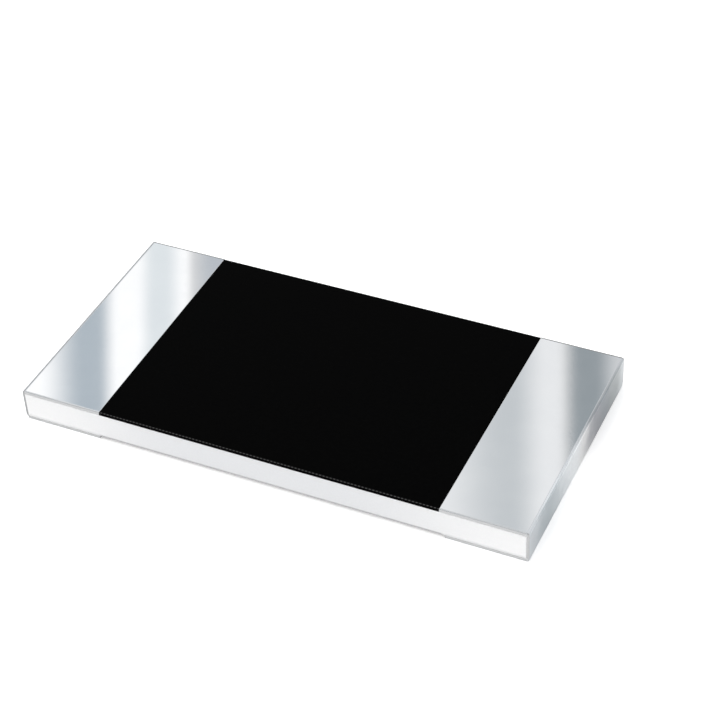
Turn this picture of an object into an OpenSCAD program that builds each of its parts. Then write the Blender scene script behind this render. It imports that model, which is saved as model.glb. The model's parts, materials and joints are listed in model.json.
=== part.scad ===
// Surface-mount chip resistor, 6432 metric size, built up in layers on an alumina substrate.
// Frame: X along the length, Y across the width, Z up from the seating plane under the
// terminations. The origin is the middle of the underside. All sizes are in millimetres.
// Every layer is drawn as the block inside its own outer face, less what lies under it, so each
// one seats on its neighbours face to face.

/* [Substrate] */
// Overall length, over both terminations
chip_length = 6.4; // [5.6:0.1:8]
// Overall width
chip_width = 3.2; // [2.6:0.1:4.5]
// Thickness of the alumina substrate
substrate_thickness = 0.36; // [0.2:0.01:0.8]
// Height of the scored slope along each long lower edge of the substrate
score_height = 0.035; // [0.01:0.005:0.06]
// Width of that slope
score_width = 0.02; // [0.005:0.005:0.04]

/* [Terminations] */
// Length of each termination on the upper face
top_band = 1.05; // [0.6:0.05:1.4]
// Length of each termination on the underside
bottom_band = 1.0; // [0.4:0.05:1.8]
// Thickness of the printed silver electrodes on the upper face
face_electrode_thickness = 0.012; // [0.006:0.001:0.025]
// Thickness of the printed silver electrodes on the underside
back_electrode_thickness = 0.012; // [0.006:0.001:0.025]
// Thickness of the silver edge electrode that wraps each end
edge_electrode_thickness = 0.012; // [0.006:0.001:0.025]
// Thickness of the nickel barrier
nickel_thickness = 0.007; // [0.004:0.001:0.015]
// Thickness of the outer tin plating
tin_thickness = 0.011; // [0.004:0.001:0.02]

/* [Resistive element] */
// Distance of the film's long edges from the sides of the substrate
element_margin = 0.35; // [0.25:0.01:0.5]
// Thickness of the resistive film
element_thickness = 0.01; // [0.005:0.001:0.02]
// Length of film that lies on each face electrode
element_overlap = 0.25; // [0.1:0.05:0.4]
// Length of the sloping rim that a printed film ends in
print_slope = 0.03; // [0.01:0.005:0.06]

/* [Laser trim] */
// Width of the laser kerf
kerf_width = 0.04; // [0.02:0.005:0.08]
// Place of the cross cut along the length, from the middle
trim_start = -0.6; // [-0.9:0.05:0]
// Reach of the cross cut into the film, from its long edge
trim_depth = 1.1; // [0.3:0.05:1.4]
// Length of the cut along the film
trim_run = 0.9; // [0.2:0.05:1.2]

/* [Coats] */
// Thickness of the glass coat over the film
glass_thickness = 0.01; // [0.005:0.001:0.02]
// Reach of the glass coat past the film, on every side
glass_margin = 0.12; // [0.05:0.01:0.2]
// Reach of the overcoat past the glass coat, at each end
overcoat_lap = 0.1; // [0.05:0.01:0.2]
// Thickness of the overcoat where it is thinnest, over the ends of the film
overcoat_thickness = 0.01; // [0.006:0.001:0.03]
// Radius of the overcoat's rounded long upper edges
overcoat_radius = 0.016; // [0.004:0.001:0.02]

/* [Hidden] */
$fn = 64;

// Plating that covers the electrodes, and all that covers the end of the substrate
plating = nickel_thickness + tin_thickness;
end_stack = edge_electrode_thickness + plating;

// Heights of the substrate, of the layers on it and of the finished faces
substrate_bottom = back_electrode_thickness + end_stack;
substrate_top = substrate_bottom + substrate_thickness;
termination_top = substrate_top + face_electrode_thickness + end_stack;
film_top = substrate_top + element_thickness;
glass_top = film_top + glass_thickness;
overcoat_top = glass_top + face_electrode_thickness + overcoat_thickness;

// Places along the length, from the middle outwards
substrate_end = chip_length / 2 - end_stack;
overcoat_end = chip_length / 2 - top_band;
bottom_band_start = chip_length / 2 - bottom_band;
glass_end = overcoat_end - overcoat_lap;
element_end = glass_end - glass_margin;
face_electrode_start = element_end - element_overlap;

// Widths of the layers: the plating ends level with the sides of the substrate
electrode_width = chip_width - 2 * plating;
element_width = chip_width - 2 * element_margin;
glass_width = element_width + 2 * glass_margin;

// Height at which the upper and lower legs of a termination are told apart
middle_height = substrate_bottom + substrate_thickness / 2;

// Layer colours
ALUMINA = "whitesmoke";
SILVER = "silver";
NICKEL = "darkkhaki";
TIN = "gainsboro";
FILM = "saddlebrown";
GLASS = "darkseagreen";
BLACK = [0.04, 0.04, 0.04];

// Extrudes a side view, drawn in X and Z, over a width that is centred on the chip
module across(width) {
    rotate([90, 0, 0])
        linear_extrude(width, center = true)
            children();
}

// Extrudes an end view, drawn in Y and Z, over a length that is centred on the chip
module along(length) {
    rotate([90, 0, 90])
        linear_extrude(length, center = true)
            children();
}

// Mirrors a right-hand piece to the left where asked
module at_end(left) {
    mirror([left ? 1 : 0, 0, 0])
        children();
}

// Side view of a printed film with sloping ends, symmetrical about the middle. It climbs the
// sloping rim of the face electrodes on its way out.
module climbing_film(end, thickness) {
    low = substrate_top + thickness;
    high = low + face_electrode_thickness;
    foot = substrate_top + face_electrode_thickness;
    half = [
        [face_electrode_start, low],
        [face_electrode_start + print_slope, high],
        [end - print_slope, high],
        [end, foot],
        [end, substrate_top]
    ];
    mirrored = [for (i = [len(half) - 1:-1:0]) [-half[i][0], half[i][1]]];
    polygon(concat(mirrored, half));
}

// End view inside a layer's outer faces: level with the substrate's sides less an inset, and
// stepped in below the scored edges
module end_view(inset) {
    side = chip_width / 2 - inset;
    foot = side - score_width;
    polygon([
        [-side, termination_top], [side, termination_top],
        [side, substrate_bottom + score_height], [foot, substrate_bottom],
        [foot, 0], [-foot, 0],
        [-foot, substrate_bottom], [-side, substrate_bottom + score_height]
    ]);
}

// Side view inside the outer face of a coat that wraps the right-hand end, as thick as coat. Its
// outer corners are round, as a conformal coat's are, and its lower leg reaches past the leg of the
// coat under it by its own thickness, so that the plating closes over the edge of the silver.
module wrap_view(coat) {
    low = substrate_bottom - back_electrode_thickness - coat;
    high = substrate_top + face_electrode_thickness + coat;
    outer = substrate_end + coat;
    lower_start = bottom_band_start + end_stack - coat;
    translate([overcoat_end, middle_height])
        square([outer - coat - overcoat_end, high - middle_height]);
    translate([lower_start, low])
        square([outer - coat - lower_start, middle_height - low]);
    translate([substrate_end, low + coat])
        square([coat, high - low - 2 * coat]);
    for (height = [low + coat, high - coat])
        translate([outer - coat, height])
            circle(coat);
}

// Everything inside the outer face of a wrapping coat
module wrapped_end(coat, inset) {
    intersection() {
        across(chip_width)
            wrap_view(coat);
        along(chip_length)
            end_view(inset);
    }
}

// L-shaped path of the trimming laser, seen from above, with round ends
module trim_cut() {
    entry = -glass_width / 2 - kerf_width;
    corner = -element_width / 2 + trim_depth;
    translate([0, 0, substrate_top])
        linear_extrude(overcoat_top - substrate_top) {
            translate([trim_start - kerf_width / 2, entry])
                square([kerf_width, corner - entry]);
            translate([trim_start, corner - kerf_width / 2])
                square([trim_run, kerf_width]);
            for (x = [trim_start, trim_start + trim_run])
                translate([x, corner])
                    circle(kerf_width / 2);
        }
}

module substrate_block() {
    along(2 * substrate_end)
        polygon([
            [-chip_width / 2, substrate_top], [chip_width / 2, substrate_top],
            [chip_width / 2, substrate_bottom + score_height],
            [chip_width / 2 - score_width, substrate_bottom],
            [-chip_width / 2 + score_width, substrate_bottom],
            [-chip_width / 2, substrate_bottom + score_height]
        ]);
}

module face_electrode_block() {
    across(electrode_width)
        polygon([
            [face_electrode_start, substrate_top],
            [face_electrode_start + print_slope, substrate_top + face_electrode_thickness],
            [substrate_end, substrate_top + face_electrode_thickness],
            [substrate_end, substrate_top]
        ]);
}

module back_electrode_block() {
    start = bottom_band_start + plating;
    width = electrode_width - 2 * score_width;
    translate([start, -width / 2, substrate_bottom - back_electrode_thickness])
        cube([substrate_end - start, width, back_electrode_thickness]);
}

// What a wrapping coat lies on
module bare_end() {
    substrate_block();
    face_electrode_block();
    back_electrode_block();
}

module ceramic_substrate() {
    color(ALUMINA)
        substrate_block();
}

module face_electrode(left) {
    color(SILVER)
        at_end(left)
            face_electrode_block();
}

module back_electrode(left) {
    color(SILVER)
        at_end(left)
            back_electrode_block();
}

module face_electrodes() {
    for (left = [false, true])
        at_end(left)
            face_electrode_block();
}

module resistive_element() {
    color(FILM)
        difference() {
            across(element_width)
                climbing_film(element_end, element_thickness);
            face_electrodes();
            trim_cut();
        }
}

module glass_block() {
    across(glass_width)
        climbing_film(glass_end, element_thickness + glass_thickness);
}

module glass_coat() {
    color(GLASS)
        difference() {
            glass_block();
            across(element_width)
                climbing_film(element_end, element_thickness);
            face_electrodes();
            trim_cut();
        }
}

module protective_overcoat() {
    side = chip_width / 2;
    color(BLACK)
        difference() {
            along(2 * overcoat_end) {
                translate([-side, substrate_top])
                    square([chip_width, overcoat_top - overcoat_radius - substrate_top]);
                translate([-side + overcoat_radius, substrate_top])
                    square([chip_width - 2 * overcoat_radius, overcoat_top - substrate_top]);
                for (y = [-side + overcoat_radius, side - overcoat_radius])
                    translate([y, overcoat_top - overcoat_radius])
                        circle(overcoat_radius);
            }
            difference() {
                glass_block();
                trim_cut();
            }
            face_electrodes();
        }
}

module edge_electrode(left) {
    color(SILVER)
        at_end(left)
            difference() {
                wrapped_end(edge_electrode_thickness, plating);
                bare_end();
            }
}

module nickel_barrier(left) {
    color(NICKEL)
        at_end(left)
            difference() {
                wrapped_end(edge_electrode_thickness + nickel_thickness, tin_thickness);
                wrapped_end(edge_electrode_thickness, plating);
                bare_end();
            }
}

module tin_plating(left) {
    color(TIN)
        at_end(left)
            difference() {
                wrapped_end(end_stack, 0);
                wrapped_end(edge_electrode_thickness + nickel_thickness, tin_thickness);
                bare_end();
            }
}

ceramic_substrate();
face_electrode(true);  // face_electrode_left
face_electrode(false);  // face_electrode_right
back_electrode(true);  // back_electrode_left
back_electrode(false);  // back_electrode_right
resistive_element();
glass_coat();
protective_overcoat();
edge_electrode(true);  // edge_electrode_left
edge_electrode(false);  // edge_electrode_right
nickel_barrier(true);  // nickel_barrier_left
nickel_barrier(false);  // nickel_barrier_right
tin_plating(true);  // tin_plating_left
tin_plating(false);  // tin_plating_right
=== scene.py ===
# Surface-mount chip resistor: the finish of its layers and the studio around it. Sizes are in metres.
import json
import math

import bmesh
import bpy
from mathutils import Matrix, Quaternion, Vector, noise


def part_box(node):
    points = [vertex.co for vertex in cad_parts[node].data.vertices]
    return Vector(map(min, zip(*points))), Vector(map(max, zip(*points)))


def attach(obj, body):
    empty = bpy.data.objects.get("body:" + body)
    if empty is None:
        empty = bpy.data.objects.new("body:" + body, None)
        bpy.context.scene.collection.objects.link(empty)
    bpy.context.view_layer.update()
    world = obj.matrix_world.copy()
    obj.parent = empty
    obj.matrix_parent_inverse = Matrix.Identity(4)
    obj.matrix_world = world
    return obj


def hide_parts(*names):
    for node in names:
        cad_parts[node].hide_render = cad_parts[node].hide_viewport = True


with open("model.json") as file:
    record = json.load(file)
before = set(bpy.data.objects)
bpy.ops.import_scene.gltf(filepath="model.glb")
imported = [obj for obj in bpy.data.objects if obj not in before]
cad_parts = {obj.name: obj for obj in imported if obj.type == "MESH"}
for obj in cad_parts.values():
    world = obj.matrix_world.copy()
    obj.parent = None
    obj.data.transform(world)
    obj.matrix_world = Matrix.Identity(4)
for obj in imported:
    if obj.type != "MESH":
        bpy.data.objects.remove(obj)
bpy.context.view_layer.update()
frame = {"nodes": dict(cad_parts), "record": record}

MM = 0.001
MICRON = 0.000001

# Camera that sees the chip as the photograph does
IMAGE_PIXELS = 719
SENSOR_WIDTH = 36
LENS = 99.4
CAMERA_AZIMUTH = 26.32
CAMERA_ELEVATION = 39.76
CAMERA_ROLL = -2.99
CAMERA_DISTANCE = 24.04 * MM
CAMERA_AIM = Vector((0.177, 0.626, 0.241)) * MM
CAMERA_NEAR = 1 * MM
CAMERA_FAR = 1000 * MM

# Boxes of the solids that the new meshes stand for or fit round
substrate_low, substrate_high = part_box("ceramic_substrate")
_, coat_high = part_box("protective_overcoat")
_, glass_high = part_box("glass_coat")
face_low, face_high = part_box("face_electrode_right")
back_low, back_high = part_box("back_electrode_right")
_, edge_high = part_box("edge_electrode_right")
_, nickel_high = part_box("nickel_barrier_right")
tin_low, tin_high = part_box("tin_plating_right")

# Sizes that follow from those boxes
tin_thickness = tin_high.x - nickel_high.x
plating = tin_high.y - edge_high.y
end_radius = tin_high.x - substrate_high.x
lower_leg_start = back_low.x - plating
score_width = edge_high.y - back_high.y
face_thickness = face_high.z - face_low.z

# Forms that the boxes don't give
SCORE_HEIGHT = 35 * MICRON
PRINT_SLOPE = 30 * MICRON
TIN_EDGE_RADIUS = 10 * MICRON
TIN_RIM_RADIUS = 3 * MICRON
COAT_EDGE_RADIUS = 16 * MICRON
COAT_END_RADIUS = 2 * MICRON
COAT_SHOULDER = 2 * MICRON
CERAMIC_EDGE_RADIUS = 5 * MICRON
FRACTURE_DEPTH = 2 * MICRON
FRACTURE_PITCH = 120 * MICRON
FRACTURE_STRETCH = 0.3
FRACTURE_SEED = 7
GRAIN_DEPTH = 1 * MICRON
GRAIN_PITCH = 40 * MICRON
GRAIN_SEED = 3
STEP_WALL = 1 * MICRON
EDGE_HOLD = 2 * MICRON
WELD_DISTANCE = 0.01 * MICRON
SHARP_DEGREES = 40
ROUND_STEPS = 6


def spread(start, end, count):
    """Evenly spaced values from start to end, both included."""
    return [start + (end - start) * i / (count - 1) for i in range(count)]


def quarter_turn(radius):
    """Points round a rounded edge, from its side to its top: set-back from the side, drop from the top."""
    angles = spread(0, math.pi / 2, ROUND_STEPS)
    return [(radius * (1 - math.cos(a)), radius * (1 - math.sin(a))) for a in angles]


def edge_drop(distance, radius):
    """How far a rounded edge lies under its top at a distance in from its side."""
    reach = radius - min(distance, radius)
    return radius - math.sqrt(radius * radius - reach * reach)


def ramp_up(value, start, end):
    """Rises evenly from 0 at start to 1 at end."""
    return min(max((value - start) / (end - start), 0), 1)


def skin(name, loops):
    """Closed mesh over a row of closed loops with as many points each, capped at both ends."""
    count = len(loops[0])
    last = count * (len(loops) - 1)
    points = [point for loop in loops for point in loop]
    faces = [tuple(range(count)), tuple(range(last, last + count))]
    for start in range(0, last, count):
        for i in range(count):
            j = (i + 1) % count
            faces.append((start + i, start + j, start + count + j, start + count + i))
    mesh = bpy.data.meshes.new(name)
    mesh.from_pydata(points, [], faces)
    shape = bmesh.new()
    shape.from_mesh(mesh)
    bmesh.ops.remove_doubles(shape, verts=shape.verts, dist=WELD_DISTANCE)
    bmesh.ops.recalc_face_normals(shape, faces=shape.faces)
    shape.to_mesh(mesh)
    shape.free()
    return mesh


def add_piece(name, mesh, material, node):
    """Puts a mesh in the scene in place of a solid."""
    for polygon in mesh.polygons:
        polygon.use_smooth = True
    mesh.set_sharp_from_angle(angle=math.radians(SHARP_DEGREES))
    mesh.materials.append(material)
    piece = bpy.data.objects.new(name, mesh)
    bpy.context.scene.collection.objects.link(piece)
    even = piece.modifiers.new("even_shading", "WEIGHTED_NORMAL")
    even.keep_sharp = True
    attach(piece, "root")
    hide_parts(node)


def half_width(height):
    """Half the chip's width at a height: it narrows down the scored slope."""
    return tin_high.y - score_width * (1 - ramp_up(height, substrate_low.z, substrate_low.z + SCORE_HEIGHT))


# Tin plating

TIN_LEG_STEPS = 36
TIN_END_STEPS = 24
TIN_WIDTH_STEPS = 90


def tin_path():
    """The right-hand cap's outer face seen from the front, from its upper rim round to its lower one.

    Each point has its normal and how far a rounded rim pulls the face in there.
    """
    up, out, down = Vector((0, 0, 1)), Vector((1, 0, 0)), Vector((0, 0, -1))
    rim = quarter_turn(TIN_RIM_RADIUS)
    corner_x = substrate_high.x
    upper_start, lower_start = coat_high.x + TIN_RIM_RADIUS, lower_leg_start + TIN_RIM_RADIUS
    path = [(Vector((coat_high.x + back, 0, tin_high.z)), up, drop) for back, drop in rim]
    for x in spread(upper_start + EDGE_HOLD, corner_x - EDGE_HOLD, TIN_LEG_STEPS) + [corner_x]:
        path.append((Vector((x, 0, tin_high.z)), up, 0))
    for angle in spread(math.pi / 2, 0, ROUND_STEPS)[1:]:
        normal = Vector((math.cos(angle), 0, math.sin(angle)))
        path.append((Vector((corner_x, 0, tin_high.z - end_radius)) + end_radius * normal, normal, 0))
    heights = spread(tin_high.z - end_radius - EDGE_HOLD, substrate_low.z + SCORE_HEIGHT, TIN_END_STEPS)
    for z in heights + [substrate_low.z, end_radius + EDGE_HOLD, end_radius]:
        path.append((Vector((tin_high.x, 0, z)), out, 0))
    for angle in spread(0, -math.pi / 2, ROUND_STEPS)[1:]:
        normal = Vector((math.cos(angle), 0, math.sin(angle)))
        path.append((Vector((corner_x, 0, end_radius)) + end_radius * normal, normal, 0))
    for x in spread(corner_x - EDGE_HOLD, lower_start + EDGE_HOLD, TIN_LEG_STEPS):
        path.append((Vector((x, 0, 0)), down, 0))
    path += [(Vector((lower_leg_start + back, 0, 0)), down, drop) for back, drop in reversed(rim)]
    return path


def tin_section(point, normal, pull):
    """Section of the cap across its width: a thin skin with a foot on the substrate along each side."""
    half = half_width(point.z)
    inner_half = half - tin_thickness
    foot_x = min(point.x, substrate_high.x)
    foot_z = min(max(point.z, substrate_low.z), substrate_high.z)
    edge = quarter_turn(TIN_EDGE_RADIUS)

    def under(depth, y):
        return point - depth * normal + Vector((0, y, 0))

    side = [Vector((foot_x, half, foot_z))]
    side += [under(pull + drop, half - back) for back, drop in edge]
    flat_half = half - TIN_EDGE_RADIUS - EDGE_HOLD
    flat = [under(pull, y) for y in spread(flat_half, -flat_half, TIN_WIDTH_STEPS)]
    inner = [Vector((foot_x, inner_half, foot_z)), under(tin_thickness, inner_half)]
    across = Vector((1, -1, 1))
    return side + flat + [p * across for p in reversed(side)] + [p * across for p in inner] + inner[::-1]


def tin_cap(name, side, material):
    """Plated cap over one end: side is 1 for the right-hand one and -1 for the left-hand one."""
    mirror = Vector((side, 1, 1))
    loops = [[p * mirror for p in tin_section(*station)] for station in tin_path()]
    add_piece("tin_cap_" + name, skin("tin_cap_" + name, loops), material, "tin_plating_" + name)


# Black overcoat

COAT_LENGTH_STEPS = 120
COAT_WIDTH_STEPS = 90


def rounded_places(half, radius, count, steps=()):
    """Places from -half to half, close together at the rounded edges and on both sides of each step."""
    edge = [half - back for back, _ in quarter_turn(radius)]
    middle = spread(half - radius, 0, count // 2)
    walls = [place + side * STEP_WALL / 2 for place in steps for side in (-1, 1)]
    places = sorted(set(edge + middle + walls))
    return sorted(set(places + [-place for place in places]))


def under_coat(x, y):
    """Height of what the overcoat lies on: bare substrate, face electrodes and the glass over the film."""
    x, y = abs(x), abs(y)
    electrode = face_thickness * ramp_up(x, face_low.x, face_low.x + PRINT_SLOPE)
    glass = glass_high.z - substrate_high.z - face_thickness
    glass *= 1 - ramp_up(x, glass_high.x - PRINT_SLOPE, glass_high.x)
    height = substrate_high.z
    if y < face_high.y:
        height += electrode
    if y < glass_high.y:
        height += glass
    return height


def coat_top(x, y):
    """Height of the coat's face: round along its edges, and a little lower beyond the glass."""
    side = coat_high.y - abs(y)
    end = coat_high.x - abs(x)
    shoulder = COAT_SHOULDER * ramp_up(abs(y), glass_high.y, coat_high.y - COAT_EDGE_RADIUS)
    return coat_high.z - shoulder - edge_drop(side, COAT_EDGE_RADIUS) - edge_drop(end, COAT_END_RADIUS)


def overcoat(material):
    """Black coat between the terminations."""
    xs = rounded_places(coat_high.x, COAT_END_RADIUS, COAT_LENGTH_STEPS)
    ys = rounded_places(coat_high.y, COAT_EDGE_RADIUS, COAT_WIDTH_STEPS, (glass_high.y, face_high.y))
    loops = []
    for x in xs:
        top = [Vector((x, y, coat_top(x, y))) for y in ys]
        loops.append(top + [Vector((x, y, under_coat(x, y))) for y in reversed(ys)])
    add_piece("black_overcoat", skin("black_overcoat", loops), material, "protective_overcoat")


# Ceramic substrate

CERAMIC_LENGTH_STEPS = 290
CERAMIC_SIDE_STEPS = 16
CERAMIC_SCORE_STEPS = 4
CERAMIC_WIDTH_STEPS = 24


def snapped_relief(x, z, side):
    """How far the snapped side lies behind its plane: broad fracture steps and fine grain."""
    along, up = x / FRACTURE_PITCH, FRACTURE_STRETCH * z / FRACTURE_PITCH
    fracture = noise.noise(Vector((along, up, FRACTURE_SEED * side)))
    grain = noise.noise(Vector((x / GRAIN_PITCH, z / GRAIN_PITCH, GRAIN_SEED * side)))
    return (FRACTURE_DEPTH * (1 + fracture) + GRAIN_DEPTH * (1 + grain)) / 2


def ceramic_side(x, side):
    """Outline of one side of the plate, from its rounded top down to the foot of the scored slope."""
    score_top = substrate_low.z + SCORE_HEIGHT
    heights = spread(substrate_high.z - CERAMIC_EDGE_RADIUS, score_top, CERAMIC_SIDE_STEPS)
    heights += spread(score_top, substrate_low.z, CERAMIC_SCORE_STEPS)[1:]
    turn = quarter_turn(CERAMIC_EDGE_RADIUS)[:0:-1]
    outline = [Vector((x, side * (substrate_high.y - back), substrate_high.z - drop)) for back, drop in turn]
    return outline + [Vector((x, side * (half_width(z) - snapped_relief(x, z, side)), z)) for z in heights]


def ceramic_section(x):
    """Section of the plate across its width, from the top of one side round to the top of the other."""
    back, front = ceramic_side(x, 1), ceramic_side(x, -1)
    foot = back[-1].y
    underside = [Vector((x, y, substrate_low.z)) for y in spread(foot, -foot, CERAMIC_WIDTH_STEPS)[1:-1]]
    return back + underside + front[::-1]


def ceramic_plate(material):
    """Substrate with its snapped sides."""
    loops = [ceramic_section(x) for x in spread(substrate_low.x, substrate_high.x, CERAMIC_LENGTH_STEPS)]
    add_piece("ceramic_plate", skin("ceramic_plate", loops), material, "ceramic_substrate")


# Materials

# Range that most of a noise texture lies in
NOISE_LOW = 0.3
NOISE_HIGH = 0.7

# Places of the Mix node's colour sockets, which share their names with other sockets
MIX_COLOURS = (6, 7)
MIX_RESULT = 2


class Finish:
    """A node material that is written one short line a node."""

    def __init__(self, name):
        self.material = bpy.data.materials.new(name)
        self.material.use_nodes = True
        self.tree = self.material.node_tree
        self.shader = self.tree.nodes["Principled BSDF"]
        self.place = self.node("ShaderNodeTexCoord").outputs["Object"]

    def node(self, kind, **values):
        made = self.tree.nodes.new(kind)
        for key, value in values.items():
            setattr(made, key, value)
        return made

    def link(self, source, target):
        self.tree.links.new(source, target)

    def set(self, **values):
        """Constant values on the shader's own sockets: base_color stands for Base Color."""
        for key, value in values.items():
            words = key.replace("_", " ").title().replace("Ior", "IOR")
            self.shader.inputs[words].default_value = value

    def noise(self, size, detail=2.0, stretch=(1, 1, 1)):
        """Noise with grains of about that size."""
        mapping = self.node("ShaderNodeMapping")
        mapping.inputs["Scale"].default_value = [s / size for s in stretch]
        self.link(self.place, mapping.inputs["Vector"])
        texture = self.node("ShaderNodeTexNoise")
        texture.inputs["Scale"].default_value = 1
        texture.inputs["Detail"].default_value = detail
        self.link(mapping.outputs["Vector"], texture.inputs["Vector"])
        return texture.outputs["Fac"]

    def span(self, source, low, high, start=NOISE_LOW, end=NOISE_HIGH):
        """Maps a value smoothly from start..end to low..high."""
        remap = self.node("ShaderNodeMapRange", interpolation_type="SMOOTHSTEP")
        for key, value in (("From Min", start), ("From Max", end), ("To Min", low), ("To Max", high)):
            remap.inputs[key].default_value = value
        self.link(source, remap.inputs["Value"])
        return remap.outputs["Result"]

    def mix(self, factor, first, second):
        """Colour between two, which are colours or sockets."""
        blend = self.node("ShaderNodeMix", data_type="RGBA")
        self.link(factor, blend.inputs["Factor"])
        for key, value in zip(MIX_COLOURS, (first, second)):
            if isinstance(value, tuple):
                blend.inputs[key].default_value = (*value, 1)
            else:
                self.link(value, blend.inputs[key])
        return blend.outputs[MIX_RESULT]

    def math(self, operation, first, second=0.0):
        """Sum, product or the like of a socket and a number or another socket."""
        made = self.node("ShaderNodeMath", operation=operation)
        self.link(first, made.inputs[0])
        if isinstance(second, float):
            made.inputs[1].default_value = second
        else:
            self.link(second, made.inputs[1])
        return made.outputs[0]

    def axis(self, name):
        """Place along one axis of the chip."""
        split = self.node("ShaderNodeSeparateXYZ")
        self.link(self.place, split.inputs[0])
        return split.outputs[name]

    def from_middle(self, name):
        """Distance from the chip's middle along one axis."""
        return self.math("ABSOLUTE", self.axis(name))

    def ramp(self, source, stops):
        """Colour that changes along a line: stops are places on it with their colours, in order."""
        first, last = stops[0][0], stops[-1][0]
        share = self.node("ShaderNodeMapRange")
        share.inputs["From Min"].default_value = first
        share.inputs["From Max"].default_value = last
        self.link(source, share.inputs["Value"])
        band = self.node("ShaderNodeValToRGB")
        band.color_ramp.interpolation = "EASE"
        elements = band.color_ramp.elements
        for place, colour in stops[1:-1]:
            elements.new((place - first) / (last - first)).color = (*colour, 1)
        elements[0].color = (*stops[0][1], 1)
        elements[len(stops) - 1].color = (*stops[-1][1], 1)
        self.link(share.outputs["Result"], band.inputs["Fac"])
        return band.outputs["Color"]

    def bump(self, source, height):
        """Relief of about that height in metres."""
        relief = self.node("ShaderNodeBump")
        relief.inputs["Distance"].default_value = height
        self.link(source, relief.inputs["Height"])
        self.link(relief.outputs["Normal"], self.shader.inputs["Normal"])

    def colour(self, source):
        self.link(source, self.shader.inputs["Base Color"])

    def roughness(self, source):
        self.link(source, self.shader.inputs["Roughness"])


# Painted reflections on the plating's end faces: bands of lighter and darker tone from the front to the back
END_PAINTED_REFLECTIONS = (
    (-1.6 * MM, (0.64, 0.67, 0.7)),
    (-1.0 * MM, (0.45, 0.5, 0.53)),
    (-0.06 * MM, (0.87, 0.9, 0.92)),
    (0.1 * MM, (0.84, 0.84, 0.84)),
    (0.62 * MM, (0.31, 0.32, 0.35)),
    (0.92 * MM, (0.28, 0.31, 0.34)),
    (1.2 * MM, (0.35, 0.38, 0.39)),
    (1.6 * MM, (0.62, 0.66, 0.68)),
)

# Painted reflections on the plating where it turns down over the ends: they vary on the right, and the left
# has an even painted shade
RIGHT_TURN_PAINTED_REFLECTIONS = (
    (-1.6 * MM, (0.72, 0.74, 0.755)),
    (-0.8 * MM, (0.83, 0.855, 0.87)),
    (-0.16 * MM, (0.68, 0.7, 0.715)),
    (0.16 * MM, (0.51, 0.53, 0.545)),
    (0.48 * MM, (0.35, 0.367, 0.38)),
    (1.12 * MM, (0.46, 0.478, 0.49)),
    (1.6 * MM, (0.58, 0.6, 0.615)),
)
LEFT_TURN_PAINTED_SHADE = (0.41, 0.42, 0.43)
TURN_ROUGHNESS = 0.45

# Where the tones change round the corner over an end: shares of its radius, measured in from the end face
TURN_BAND = (1, 0.7)
END_BAND = (0.4, 0.05)
FLAT_BAND = (0.15, 0.02)
SHADE_BAND = (0.06, 0.002)

# Painted shade: the share of the end face's tone that is kept where it begins to turn
TURN_SHADE = 0.76
BLACK = (0, 0, 0)

# Painted shade: a darker, duller line on the top face along the left-hand corner
LEFT_LINE_SHADE = (0.48, 0.49, 0.5)
LEFT_LINE_WIDTH = 12 * MICRON

# Duller strip along the long edges of the plating, with painted shade in it: its width, and its painted
# shade tones at the front on top and on the side, at the back, at the ends and on the lower legs
RIM_WIDTH = 26 * MICRON
RIM_FRONT_SHADE = (0.58, 0.585, 0.59)
RIM_SIDE_SHADE = (0.45, 0.455, 0.46)
RIM_BACK_SHADE = (0.22, 0.225, 0.23)
RIM_LEFT_SHADE = (0.34, 0.345, 0.35)
RIM_RIGHT_SHADE = (0.45, 0.455, 0.46)
RIM_LOW_SHADE = (0.47, 0.475, 0.48)
RIM_ROUGHNESS = 0.2

# Where the strip fades in: shares of its width in from the upper edges and from the lower legs' edges
UPPER_RIM_BAND = (1, 0.6)
LEG_RIM_BAND = (0.5, 0.25)
SIDE_BAND = (4 * MICRON, 1 * MICRON)
LEG_FADE = 4 * MICRON

# Plating of the flat faces
TIN_TINT = (0.7, 0.7, 0.7, 1)
TIN_CLOUD = 400 * MICRON
TIN_TONES = ((0.655, 0.662, 0.672), (0.67, 0.676, 0.684))
TIN_GRAIN = 60 * MICRON
TIN_GRAIN_DETAIL = 4
TIN_ROUGHNESS = (0.03, 0.037)

# The painted reflection bands across the ends and their turns wander to and fro by this much over lengths of
# about that size
TONE_DRIFT = 60 * MICRON
TONE_DRIFT_SIZE = 250 * MICRON


def near_end(finish, band, low=0, high=1):
    """Changes from low to high over a band of the corner at either end."""
    start, end = (tin_high.x - share * end_radius for share in band)
    return finish.span(finish.from_middle("X"), low, high, start=start, end=end)


def near_side(finish, half, band):
    """Rises from 0 to 1 over a band in from a half width."""
    start, end = (half - distance for distance in band)
    return finish.span(finish.from_middle("Y"), 0, 1, start=start, end=end)


def left_line(finish):
    """1 on the line along the left-hand corner and beyond it, 0 elsewhere."""
    corner = -substrate_high.x
    full, gone = corner + LEFT_LINE_WIDTH / 2, corner + LEFT_LINE_WIDTH
    return finish.span(finish.axis("X"), 1, 0, start=full, end=gone)


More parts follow.
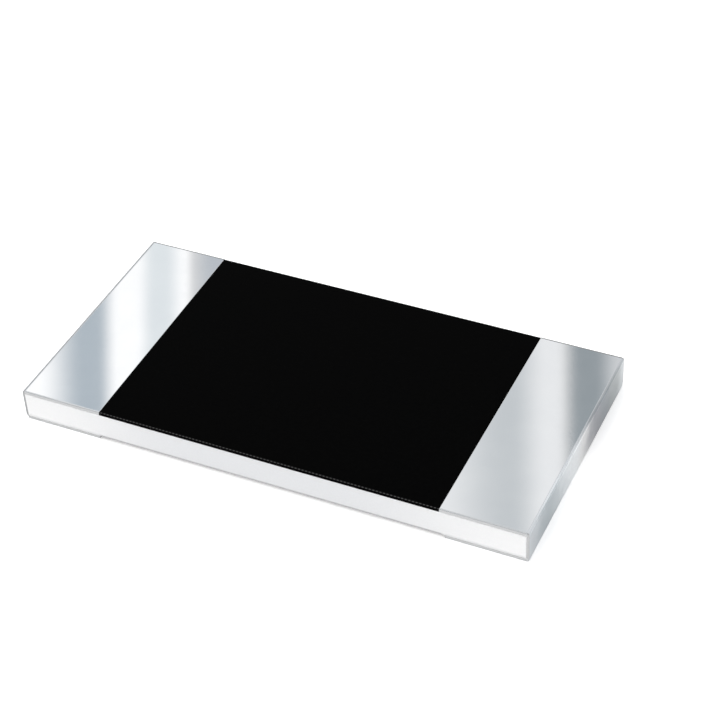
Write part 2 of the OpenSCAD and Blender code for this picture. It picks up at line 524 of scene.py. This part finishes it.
def tin_tone_with_painted_reflections(finish, to_right):
    """Tone of the plating's faces: cloudy on top, with painted shade on the line along the left-hand corner,
    and painted reflections and shade round the corners and on the end faces.
    """
    cloud = finish.span(finish.noise(TIN_CLOUD), 0, 1)
    # The top is cloudy, with painted shade on the line along the left-hand corner
    top = finish.mix(left_line(finish), finish.mix(cloud, *TIN_TONES), LEFT_LINE_SHADE)
    drift = finish.span(finish.noise(TONE_DRIFT_SIZE, stretch=(0, 1, 1)), -TONE_DRIFT, TONE_DRIFT)
    place = finish.math("ADD", finish.axis("Y"), drift)
    # Painted reflections round the right-hand turn and painted shade round the left-hand one
    turn = finish.mix(to_right, LEFT_TURN_PAINTED_SHADE, finish.ramp(place, RIGHT_TURN_PAINTED_REFLECTIONS))
    # Painted reflections on the end faces, with painted shade where they begin to turn
    end = finish.mix(near_end(finish, SHADE_BAND, low=TURN_SHADE), BLACK, finish.ramp(place, END_PAINTED_REFLECTIONS))
    upper = finish.mix(near_end(finish, TURN_BAND), top, turn)
    return finish.mix(near_end(finish, END_BAND), upper, end)


def low_leg(finish):
    """1 on the lower legs and 0 above them."""
    return finish.span(finish.axis("Z"), 1, 0, start=substrate_low.z, end=substrate_low.z + LEG_FADE)


def tin_rim(finish):
    """1 on the duller strip along the long edges, which carries painted shade, and 0 elsewhere."""
    upper = near_side(finish, tin_high.y, [share * RIM_WIDTH for share in UPPER_RIM_BAND])
    leg = near_side(finish, tin_high.y - score_width, [share * RIM_WIDTH for share in LEG_RIM_BAND])
    return finish.math("MAXIMUM", upper, finish.math("MULTIPLY", low_leg(finish), leg))


def tin_rim_painted_shade(finish, to_right):
    """Painted shade of the strip: darker or lighter by the side that it faces."""
    front = finish.mix(near_side(finish, tin_high.y, SIDE_BAND), RIM_FRONT_SHADE, RIM_SIDE_SHADE)
    to_back = finish.span(finish.axis("Y"), 0, 1, start=-tin_high.y, end=tin_high.y)
    at_sides = finish.mix(to_back, front, RIM_BACK_SHADE)
    at_ends = finish.mix(to_right, RIM_LEFT_SHADE, RIM_RIGHT_SHADE)
    upper = finish.mix(near_end(finish, TURN_BAND), at_sides, at_ends)
    return finish.mix(low_leg(finish), upper, RIM_LOW_SHADE)


def bright_tin():
    """Smooth plating, a little cloudy, with painted reflections and shade on the end faces and round the
    corners, and duller edges with painted shade.
    """
    finish = Finish("bright_tin")
    finish.set(metallic=1.0, specular_tint=TIN_TINT)
    to_right = finish.span(finish.axis("X"), 0, 1, start=-tin_low.x, end=tin_low.x)
    rim = tin_rim(finish)
    # Painted reflections and shade on the faces, and painted shade on the strip along the long edges
    finish.colour(finish.mix(rim, tin_tone_with_painted_reflections(finish, to_right), tin_rim_painted_shade(finish, to_right)))
    turned = finish.math("MAXIMUM", near_end(finish, TURN_BAND), left_line(finish))
    rounded = finish.math("SUBTRACT", turned, near_end(finish, FLAT_BAND))
    dull_rim = finish.math("MULTIPLY", rim, RIM_ROUGHNESS)
    dull_turn = finish.math("MULTIPLY", rounded, TURN_ROUGHNESS)
    grain = finish.span(finish.noise(TIN_GRAIN, detail=TIN_GRAIN_DETAIL), *TIN_ROUGHNESS)
    finish.roughness(finish.math("ADD", grain, finish.math("MAXIMUM", dull_rim, dull_turn)))
    return finish.material


# Painted highlight along the coat's rounded long edges, broken into a faint row of marks at an even pitch
COAT_LINE_INSET = 9 * MICRON
COAT_LINE_WIDTH = 13 * MICRON
COAT_HIGHLIGHT_TONE = (0.06, 0.06, 0.06)
HIGHLIGHT_MARK_PITCH = 43.5 * MICRON
MARK_FAINTEST = 0.1
MARK_FADE = 0.6

# Matt black resin
COAT_GLOSS = 0.01
COAT_GRAIN = 50 * MICRON
COAT_GRAIN_DETAIL = 4
COAT_TONES = ((0.0004, 0.0004, 0.0004), (0.001, 0.001, 0.001))
COAT_ROUGHNESS = (0.5, 0.65)
COAT_RELIEF = 0.4 * MICRON


def coat_edge_highlight(finish):
    """Near 1 on the painted highlight's marks along the coat's long edges and 0 elsewhere."""
    across = finish.from_middle("Y")
    middle = coat_high.y - COAT_LINE_INSET
    half = COAT_LINE_WIDTH / 2
    inner = finish.span(across, 0, 1, start=middle - half, end=middle - half / 2)
    outer = finish.span(across, 1, 0, start=middle + half / 2, end=middle + half)
    wave = finish.math("SINE", finish.math("MULTIPLY", finish.axis("X"), 2 * math.pi / HIGHLIGHT_MARK_PITCH))
    marks = finish.span(wave, MARK_FAINTEST, 1, start=-MARK_FADE, end=MARK_FADE)
    return finish.math("MULTIPLY", finish.math("MULTIPLY", inner, outer), marks)


def black_epoxy():
    """Matt black resin with a painted highlight, in faint marks, along its long edges."""
    finish = Finish("black_epoxy")
    finish.set(specular_ior_level=COAT_GLOSS)
    grain = finish.noise(COAT_GRAIN, detail=COAT_GRAIN_DETAIL)
    black = finish.mix(finish.span(grain, 0, 1), *COAT_TONES)
    # Painted highlight along the long edges
    finish.colour(finish.mix(coat_edge_highlight(finish), black, COAT_HIGHLIGHT_TONE))
    finish.roughness(finish.span(grain, *COAT_ROUGHNESS))
    finish.bump(grain, COAT_RELIEF)
    return finish.material


# Fine white ceramic: its tones with painted shade along the middle and clear of it towards the ends, each
# from dark to light grain
CERAMIC_GLOSS = 0.3
CERAMIC_GRAIN = 25 * MICRON
CERAMIC_GRAIN_DETAIL = 3
MIDDLE_PAINTED_SHADE_TONES = ((0.79, 0.798, 0.815), (0.81, 0.818, 0.835))
CLEAR_TONES = ((0.94, 0.94, 0.945), (0.96, 0.96, 0.962))
CERAMIC_ROUGHNESS = (0.55, 0.75)
CERAMIC_RELIEF = 0.6 * MICRON

# Painted shade keeps it greyer within this distance of the middle, fading out towards the ends
PAINTED_SHADE_HALF = 0.9 * MM

# Painted shade: a grey strip along the scored slopes. How it fades out above them, inside them and towards
# the lower legs
SCORED_SHADE_TONE = (0.6, 0.6, 0.61)
SCORED_FADE_UP = (2 * MICRON, 12 * MICRON)
SCORED_FADE_IN = (-4 * MICRON, 2 * MICRON)
SCORED_FADE_END = 40 * MICRON


def painted_score_shade(finish):
    """1 where shade is painted on the scored slopes between the lower legs, and 0 elsewhere."""
    score_top = substrate_low.z + SCORE_HEIGHT
    full, gone = (score_top + rise for rise in SCORED_FADE_UP)
    low = finish.span(finish.axis("Z"), 1, 0, start=full, end=gone)
    inner, outer = (back_high.y + step for step in SCORED_FADE_IN)
    at_side = finish.span(finish.from_middle("Y"), 0, 1, start=inner, end=outer)
    fade = lower_leg_start - SCORED_FADE_END
    between_legs = finish.span(finish.from_middle("X"), 1, 0, start=fade, end=lower_leg_start)
    return finish.math("MULTIPLY", finish.math("MULTIPLY", low, at_side), between_legs)


def white_alumina():
    """Fine white ceramic, greyer along the middle with painted shade, and with a painted shade strip along
    each scored side between the terminations.
    """
    finish = Finish("white_alumina")
    finish.set(specular_ior_level=CERAMIC_GLOSS)
    speck = finish.noise(CERAMIC_GRAIN, detail=CERAMIC_GRAIN_DETAIL)
    grain = finish.span(speck, 0, 1)
    shade_fading_to_ends = finish.span(finish.from_middle("X"), 0, 1, start=PAINTED_SHADE_HALF, end=substrate_high.x)
    # Painted shade along the middle, fading out towards the ends
    white = finish.mix(shade_fading_to_ends, finish.mix(grain, *MIDDLE_PAINTED_SHADE_TONES), finish.mix(grain, *CLEAR_TONES))
    # Painted shade on the scored slopes
    finish.colour(finish.mix(painted_score_shade(finish), white, SCORED_SHADE_TONE))
    finish.roughness(finish.span(speck, *CERAMIC_ROUGHNESS))
    finish.bump(speck, CERAMIC_RELIEF)
    return finish.material


# Layers that keep their solids, by material slot. One grain gives each its tone, roughness and relief.
HIDDEN_LOOKS = {
    "silver": {
        "name": "fired_silver",
        "shader": {"metallic": 1.0},
        "grain": 15 * MICRON,
        "detail": 3,
        "tones": ((0.74, 0.73, 0.7), (0.84, 0.83, 0.8)),
        "roughness": (0.35, 0.55),
        "relief": 0.8 * MICRON,
    },
    "nickel": {
        "name": "plated_nickel",
        "shader": {"metallic": 1.0},
        "grain": 20 * MICRON,
        "detail": 3,
        "tones": ((0.62, 0.59, 0.53), (0.7, 0.67, 0.6)),
        "roughness": (0.22, 0.36),
        "relief": 0.3 * MICRON,
    },
    "resistive_film": {
        "name": "resistive_glaze",
        "shader": {},
        "grain": 12 * MICRON,
        "detail": 4,
        "tones": ((0.012, 0.01, 0.009), (0.05, 0.04, 0.034)),
        "roughness": (0.3, 0.5),
        "relief": 0.5 * MICRON,
    },
    "glass": {
        "name": "green_glass",
        "shader": {"transmission_weight": 0.6, "ior": 1.52},
        "grain": 80 * MICRON,
        "detail": 3,
        "tones": ((0.3, 0.46, 0.34), (0.4, 0.55, 0.44)),
        "roughness": (0.08, 0.2),
        "relief": None,
    },
}


def hidden_material(name, shader, grain, detail, tones, roughness, relief):
    """Material whose tone, roughness and relief follow one grain. Smooth layers have no relief."""
    finish = Finish(name)
    finish.set(**shader)
    texture = finish.noise(grain, detail=detail)
    finish.colour(finish.mix(finish.span(texture, 0, 1), *tones))
    finish.roughness(finish.span(texture, *roughness))
    if relief:
        finish.bump(texture, relief)
    return finish.material


def dress_hidden_layers():
    """Gives the layers that keep their solids their materials."""
    looks = {slot: hidden_material(**look) for slot, look in HIDDEN_LOOKS.items()}
    for part in frame["record"]["subparts"]:
        if part["material_slot"] in looks:
            mesh = frame["nodes"][part["node"]].data
            mesh.materials.clear()
            mesh.materials.append(looks[part["material_slot"]])


# Camera

def direction(azimuth, elevation):
    """Unit vector towards a place round the chip; azimuth 0 is in front of it and 90 is to its right."""
    a, e = math.radians(azimuth), math.radians(elevation)
    return Vector((math.sin(a) * math.cos(e), -math.cos(a) * math.cos(e), math.sin(e)))


def make_camera():
    """Camera at the place and the turn that the photograph shows."""
    back = direction(CAMERA_AZIMUTH, CAMERA_ELEVATION)
    data = bpy.data.cameras.new("camera")
    data.sensor_width = SENSOR_WIDTH
    data.lens = LENS
    data.clip_start = CAMERA_NEAR
    data.clip_end = CAMERA_FAR
    camera = bpy.data.objects.new("camera", data)
    camera.location = CAMERA_AIM + CAMERA_DISTANCE * back
    camera.rotation_mode = "QUATERNION"
    roll = Quaternion((0, 0, 1), math.radians(CAMERA_ROLL))
    camera.rotation_quaternion = (-back).to_track_quat("-Z", "Y") @ roll
    bpy.context.scene.collection.objects.link(camera)
    bpy.context.scene.camera = camera
    bpy.context.view_layer.update()
    return camera


# Studio

FLOOR_SIZE = 0.6
FLOOR_BOUNCE = 0.6
FLOOR_WHITE = 1.0
FLOOR_GLOW = 0.2
WORLD_LIGHT = 0.8


def seen_directly(tree):
    """1 for rays that show a thing as it is: to the camera, off gloss or through glass."""
    path = tree.nodes.new("ShaderNodeLightPath")
    total = path.outputs["Is Camera Ray"]
    for name in ("Is Glossy Ray", "Is Transmission Ray"):
        either = tree.nodes.new("ShaderNodeMath")
        either.operation = "MAXIMUM"
        tree.links.new(total, either.inputs[0])
        tree.links.new(path.outputs[name], either.inputs[1])
        total = either.outputs[0]
    return total


def bare_material(name):
    """Material with nothing but its output, and the tree of its nodes."""
    material = bpy.data.materials.new(name)
    material.use_nodes = True
    tree = material.node_tree
    tree.nodes.remove(tree.nodes["Principled BSDF"])
    return material, tree


def sheet(name, width, length, material):
    """Flat rectangle round the origin."""
    corners = [(-1, -1), (1, -1), (1, 1), (-1, 1)]
    mesh = bpy.data.meshes.new(name)
    mesh.from_pydata([(x * width / 2, y * length / 2, 0) for x, y in corners], [], [(0, 1, 2, 3)])
    mesh.materials.append(material)
    made = bpy.data.objects.new(name, mesh)
    bpy.context.scene.collection.objects.link(made)
    return made


def white_world():
    """Even white surroundings, a little dimmer as a light than they are to look at."""
    world = bpy.data.worlds.new("white_studio")
    world.use_nodes = True
    bpy.context.scene.world = world
    tree = world.node_tree
    background = tree.nodes["Background"]
    background.inputs["Color"].default_value = (1, 1, 1, 1)
    strength = tree.nodes.new("ShaderNodeMapRange")
    strength.inputs["To Min"].default_value = WORLD_LIGHT
    tree.links.new(seen_directly(tree), strength.inputs["Value"])
    tree.links.new(strength.outputs["Result"], background.inputs["Strength"])


def white_floor():
    """Floor that is white where it is lit and keeps a soft shadow. It isn't there for a look from below."""
    material, tree = bare_material("white_floor")
    make = tree.nodes.new
    bounce = make("ShaderNodeBsdfDiffuse")
    shade = make("ShaderNodeBsdfDiffuse")
    glow = make("ShaderNodeEmission")
    shown = make("ShaderNodeAddShader")
    choice = make("ShaderNodeMixShader")
    sided = make("ShaderNodeMixShader")
    bounce.inputs["Color"].default_value = (FLOOR_BOUNCE, FLOOR_BOUNCE, FLOOR_BOUNCE, 1)
    shade.inputs["Color"].default_value = (FLOOR_WHITE, FLOOR_WHITE, FLOOR_WHITE, 1)
    glow.inputs["Strength"].default_value = FLOOR_GLOW
    tree.links.new(shade.outputs[0], shown.inputs[0])
    tree.links.new(glow.outputs[0], shown.inputs[1])
    tree.links.new(seen_directly(tree), choice.inputs[0])
    tree.links.new(bounce.outputs[0], choice.inputs[1])
    tree.links.new(shown.outputs[0], choice.inputs[2])
    tree.links.new(make("ShaderNodeNewGeometry").outputs["Backfacing"], sided.inputs[0])
    tree.links.new(choice.outputs[0], sided.inputs[1])
    tree.links.new(make("ShaderNodeBsdfTransparent").outputs[0], sided.inputs[2])
    tree.links.new(sided.outputs[0], tree.nodes["Material Output"].inputs["Surface"])
    floor = sheet("floor", FLOOR_SIZE, FLOOR_SIZE, material)


LAMPS = (
    # name, azimuth, elevation, distance, size, watts
    ("key_softbox", -35, 55, 0.4, 0.3, 0.64),
    ("fill_softbox", 60, 40, 0.4, 0.3, 0.32),
)


def soft_lamps():
    """Broad lamps that the metal doesn't mirror."""
    for name, azimuth, elevation, distance, size, watts in LAMPS:
        data = bpy.data.lights.new(name, "AREA")
        data.size = size
        data.energy = watts
        lamp = bpy.data.objects.new(name, data)
        towards = direction(azimuth, elevation)
        lamp.location = distance * towards
        lamp.rotation_mode = "QUATERNION"
        lamp.rotation_quaternion = towards.to_track_quat("Z", "Y")
        lamp.visible_camera = False
        lamp.visible_glossy = False
        bpy.context.scene.collection.objects.link(lamp)


# Light and grey panels that the bright metal mirrors

PANEL_DISTANCE = 0.5
PANEL_LENGTH = 0.7
PANEL_GAP = 0.002

# Behind the chip, as its top face mirrors them. A panel fades in from the first place to the second and out
# from the third to the fourth, in pixels across the picture.
MIRRORED_PANELS = (
    ("left_light", (-140, -60, 184, 196), (1.52, 1.52, 1.52)),
    ("left_dark", (36, 84, 98, 118), (0.64, 0.72, 0.79)),
    ("left_pale", (136, 154, 166, 186), (1.1, 1.16, 1.19)),
    ("left_inner", (187, 214, 260, 340), (0.72, 0.765, 0.82)),
    ("right_light", (360, 440, 556, 572), (1.22, 1.23, 1.24)),
    ("right_grey", (430, 507, 512, 548), (0.82, 0.86, 0.885)),
    ("right_edge", (570, 600, 1200, 1400), (0.9, 0.92, 0.94)),
    ("right_dark", (560, 580, 595, 620), (0.43, 0.48, 0.51)),
)

# All round the chip outside those, and overhead, for the other sides
RING_DISTANCE = 0.6
RING_ELEVATION = 35
RING_LENGTH = 0.85
RING_WIDTH = 0.06
RING_STEP = 7
RING_FREE = 27
OVERHEAD_COUNT = 11
OVERHEAD_WIDTH = 0.045
OVERHEAD_TURN = 30
SOFT_EDGE = 0.35
PLAIN_TONES = ((1.0, 1.0, 1.0), (0.6, 0.65, 0.7), (0.95, 0.96, 0.98), (0.75, 0.78, 0.82))

# Low grey flags all round, which give the rounded edges their outlines
FLAG_DISTANCE = 0.65
FLAG_STEP = 20
FLAG_HEIGHT = 0.16
FLAG_TONE = (0.5, 0.52, 0.55)
FLAG_FADE = 0.6


def panel_material(name, tone, fade_in, fade_out):
    """Panel that glows in its tone and fades out over those shares of its width."""
    material, tree = bare_material(name)
    make = tree.nodes.new
    place = make("ShaderNodeTexCoord")
    split = make("ShaderNodeSeparateXYZ")
    both = make("ShaderNodeMath")
    glow = make("ShaderNodeEmission")
    blend = make("ShaderNodeMixShader")
    both.operation = "MULTIPLY"
    tree.links.new(place.outputs["Generated"], split.inputs[0])
    for i, (clear, full) in enumerate(((0, fade_in), (1, 1 - fade_out))):
        fade = make("ShaderNodeMapRange")
        fade.interpolation_type = "SMOOTHSTEP"
        fade.inputs["From Min"].default_value = clear
        fade.inputs["From Max"].default_value = full
        tree.links.new(split.outputs["X"], fade.inputs["Value"])
        tree.links.new(fade.outputs["Result"], both.inputs[i])
    glow.inputs["Color"].default_value = (*tone, 1)
    tree.links.new(both.outputs[0], blend.inputs[0])
    tree.links.new(make("ShaderNodeBsdfTransparent").outputs[0], blend.inputs[1])
    tree.links.new(glow.outputs[0], blend.inputs[2])
    tree.links.new(blend.outputs[0], tree.nodes["Material Output"].inputs["Surface"])
    return material


def panel(name, middle, across, along, width, length, material):
    """Panel that only mirrors see: across and along are the directions of its sides."""
    made = sheet(name, width, length, material)
    turn = Matrix((across, along, across.cross(along))).transposed()
    made.matrix_world = Matrix.Translation(middle) @ turn.to_4x4()
    for ray in ("camera", "diffuse", "transmission", "volume_scatter", "shadow"):
        setattr(made, "visible_" + ray, False)


def mirrored_panels(camera):
    """Stands the panels where the top face, as a mirror, shows them upright in the picture."""
    flip = Vector((1, 1, -1))
    axes = camera.matrix_world.to_3x3().transposed()
    right, up, back = (Vector(axis) * flip for axis in axes)
    eye = camera.location * flip + Vector((0, 0, 2 * tin_high.z))
    pixel = SENSOR_WIDTH / LENS / IMAGE_PIXELS
    for i, (name, places, tone) in enumerate(MIRRORED_PANELS):
        left, left_full, right_full, right_end = places
        width = right_end - left
        material = panel_material(name, tone, (left_full - left) / width, (right_end - right_full) / width)
        far = PANEL_DISTANCE - PANEL_GAP * i
        offset = ((left + right_end) / 2 - IMAGE_PIXELS / 2) * pixel
        middle = eye + far * (offset * right - back)
        panel("panel_" + name, middle, right, up, width * pixel * far, PANEL_LENGTH, material)


def plain_panels():
    """Panels round the rest of the chip and above it, in a few tones by turns."""
    materials = []
    for i, tone in enumerate(PLAIN_TONES):
        materials.append(panel_material(f"plain_{i}", tone, SOFT_EDGE, SOFT_EDGE))
    behind = CAMERA_AZIMUTH + 180
    for i, turn in enumerate(range(RING_FREE, 360 - RING_FREE, RING_STEP)):
        towards = direction(behind + turn, RING_ELEVATION)
        across = direction(behind + turn + 90, 0)
        middle, along = RING_DISTANCE * towards, towards.cross(across)
        panel(f"ring_{i}", middle, across, along, RING_WIDTH, RING_LENGTH, materials[i % len(materials)])
    across, along = direction(90 + OVERHEAD_TURN, 0), direction(180 + OVERHEAD_TURN, 0)
    for i in range(OVERHEAD_COUNT):
        offset = (i - OVERHEAD_COUNT // 2) * OVERHEAD_WIDTH
        middle = Vector((0, 0, RING_DISTANCE)) + offset * across
        material = materials[i % len(materials)]
        panel(f"overhead_{i}", middle, across, along, OVERHEAD_WIDTH, PANEL_LENGTH, material)


def low_flags():
    """Grey panels that stand round the floor and fade out towards their tops."""
    material = panel_material("low_flag", FLAG_TONE, 0, FLAG_FADE)
    up = Vector((0, 0, 1))
    length = 2 * FLAG_DISTANCE * math.tan(math.radians(FLAG_STEP / 2))
    for azimuth in range(0, 360, FLAG_STEP):
        middle = FLAG_DISTANCE * direction(azimuth, 0) + up * FLAG_HEIGHT / 2
        panel(f"flag_{azimuth}", middle, up, direction(azimuth + 90, 0), FLAG_HEIGHT, length, material)


# Making

camera = make_camera()
tin = bright_tin()
for end, side in (("left", -1), ("right", 1)):
    tin_cap(end, side, tin)
overcoat(black_epoxy())
ceramic_plate(white_alumina())
dress_hidden_layers()
white_world()
white_floor()
soft_lamps()
mirrored_panels(camera)
plain_panels()
low_flags()
bpy.context.scene.view_settings.view_transform = "Standard"
